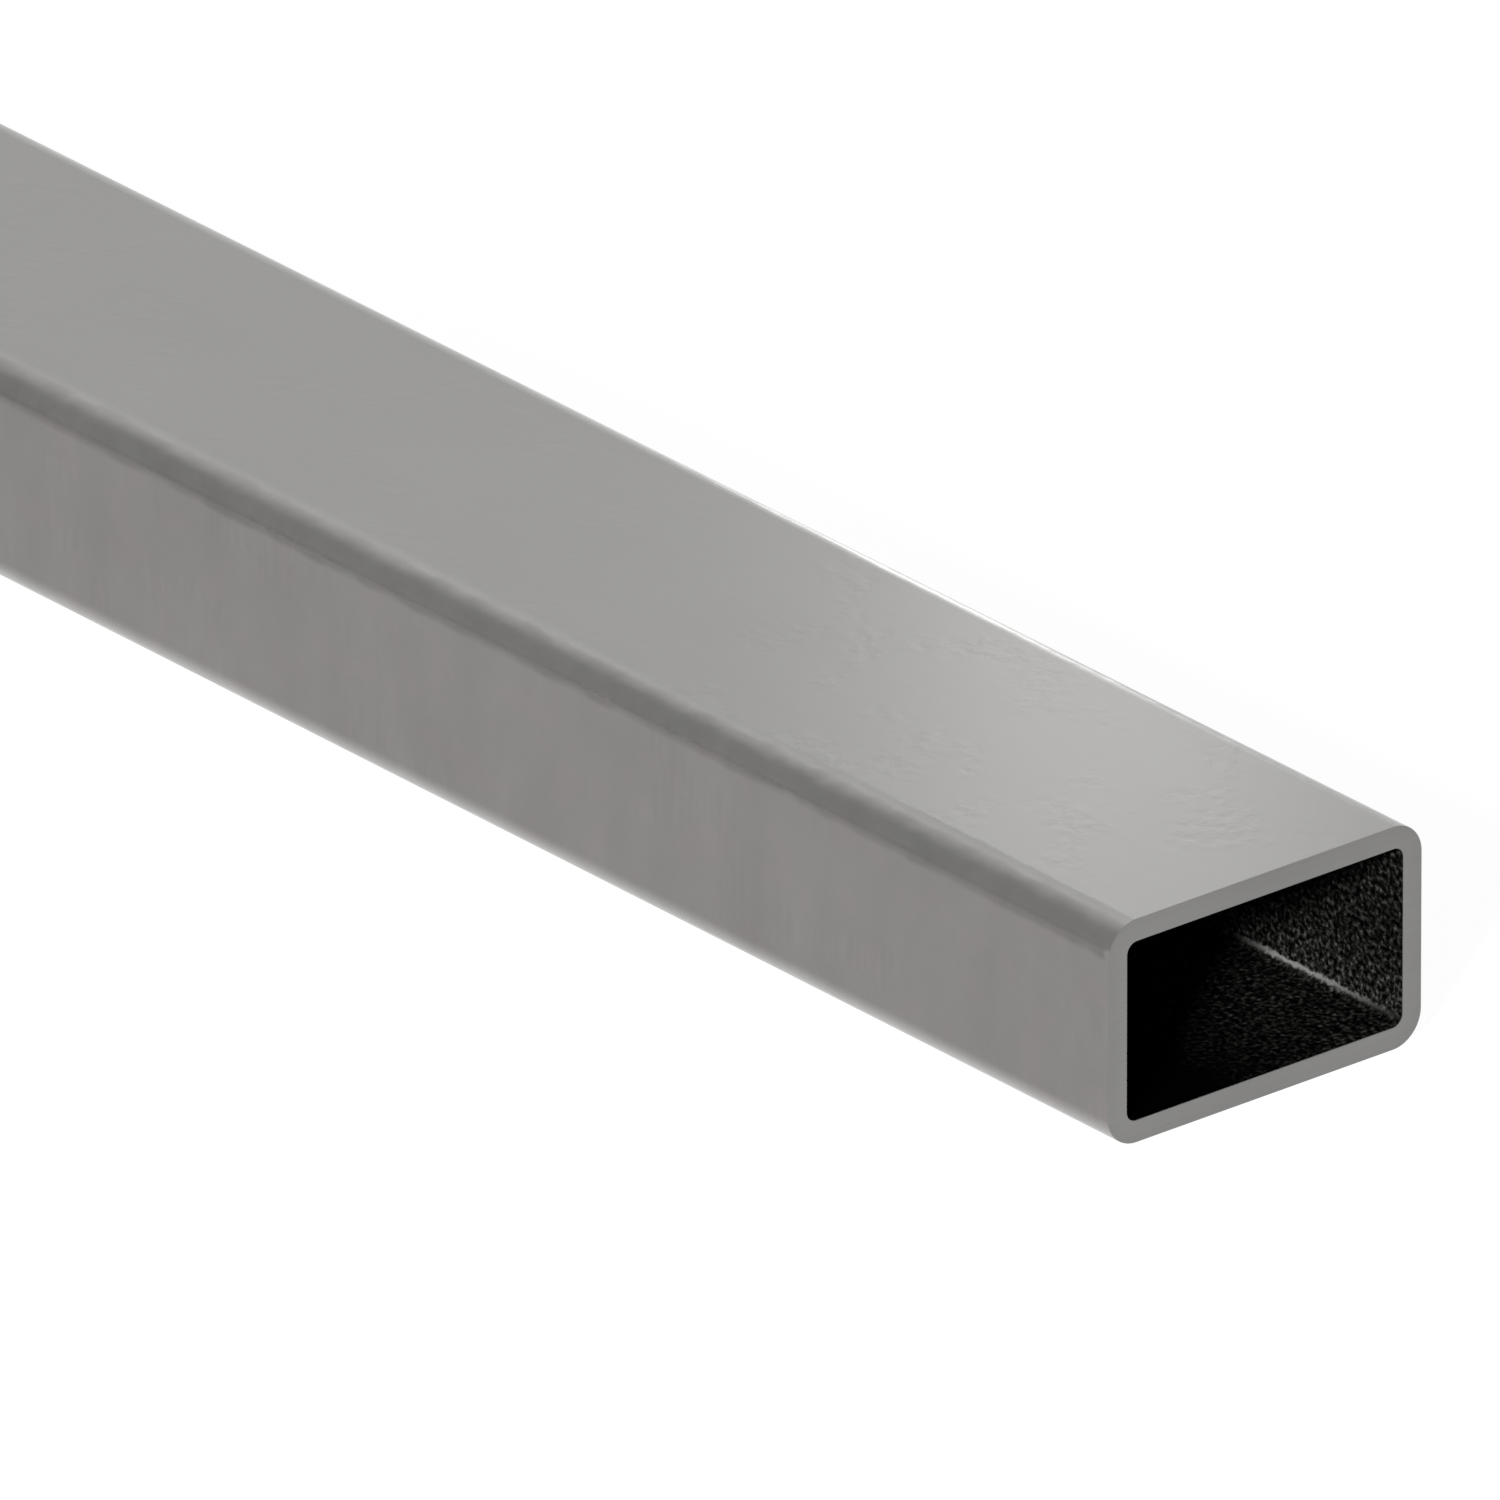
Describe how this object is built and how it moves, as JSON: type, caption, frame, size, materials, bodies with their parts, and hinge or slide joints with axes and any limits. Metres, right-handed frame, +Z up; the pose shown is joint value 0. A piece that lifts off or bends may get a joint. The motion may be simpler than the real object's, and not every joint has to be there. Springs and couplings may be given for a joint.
{
  "type": "rectangular steel tube",
  "caption": "Straight length of rectangular steel tube with rounded bends and square-cut open ends, stock for frames, rails and brackets.",
  "frame": {"origin": "centre of the underside, on the outer face of the wide wall that the tube lies on", "axes": "+X along the length towards the cut end that the picture shows, +Y across the wide walls, +Z up through the narrow walls' height"},
  "size_m": [0.5, 0.05, 0.03],
  "materials": {
    "tube_steel": "bare cold-rolled mild steel, lightly oiled satin grey, faintly mottled"
  },
  "bodies": {
    "root": {"tube": "tube_steel"}
  },
  "joints": []
}
